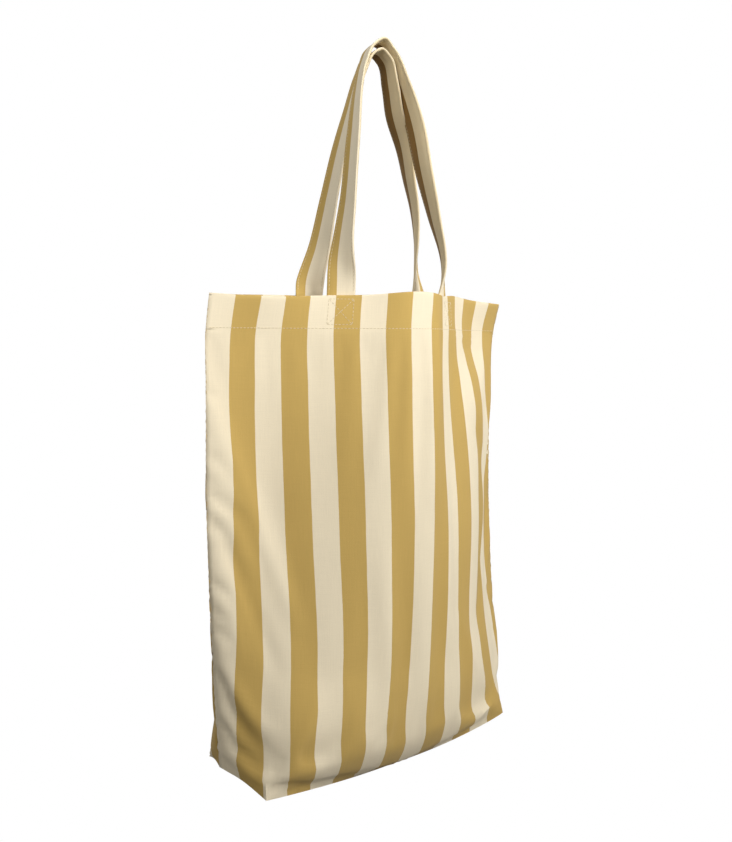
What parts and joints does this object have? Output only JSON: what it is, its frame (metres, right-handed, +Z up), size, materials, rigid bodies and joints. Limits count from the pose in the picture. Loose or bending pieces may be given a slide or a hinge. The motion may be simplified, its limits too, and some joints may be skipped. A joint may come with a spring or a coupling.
{
  "type": "canvas tote bag",
  "caption": "Upright striped canvas tote bag with boxed corners, open top and a pair of strap handles held up, each of which folds down outside the bag.",
  "frame": {"origin": "centre of the base's underside, on the surface the bag stands on", "axes": "+Z up, front panel faces -Y, width along X"},
  "size_m": [0.3538, 0.1455, 0.6684],
  "materials": {
    "striped_canvas": "matt plain-weave cotton canvas with vertical gold and cream stripes",
    "strap_canvas": "matt striped canvas, folded and sewn",
    "seam_canvas": "matt raw canvas edge with overlock thread",
    "sewing_thread": "matt spun polyester thread"
  },
  "bodies": {
    "bag": {"front_panel": "striped_canvas", "back_panel": "striped_canvas", "left_side_seam": "seam_canvas", "right_side_seam": "seam_canvas", "left_corner_seam": "seam_canvas", "right_corner_seam": "seam_canvas", "bottom_seam": "seam_canvas", "hem_stitching": "sewing_thread", "front_left_strap_end": "strap_canvas", "front_right_strap_end": "strap_canvas", "back_left_strap_end": "strap_canvas", "back_right_strap_end": "strap_canvas", "front_left_stitch_box": "sewing_thread", "front_right_stitch_box": "sewing_thread", "back_left_stitch_box": "sewing_thread", "back_right_stitch_box": "sewing_thread"},
    "front_handle": {"front_handle": "strap_canvas"},
    "back_handle": {"back_handle": "strap_canvas"}
  },
  "joints": [
    {"name": "front_handle_fold", "type": "hinge", "parent": "bag", "child": "front_handle", "pos_m": [0.011, -0.0456, 0.4175], "axis": [0.9946, -0.104, 0], "range_deg": [0, 155]},
    {"name": "back_handle_fold", "type": "hinge", "parent": "bag", "child": "back_handle", "pos_m": [0.00825, 0.0212, 0.4175], "axis": [-1, 0.0075, 0], "range_deg": [0, 155]}
  ]
}
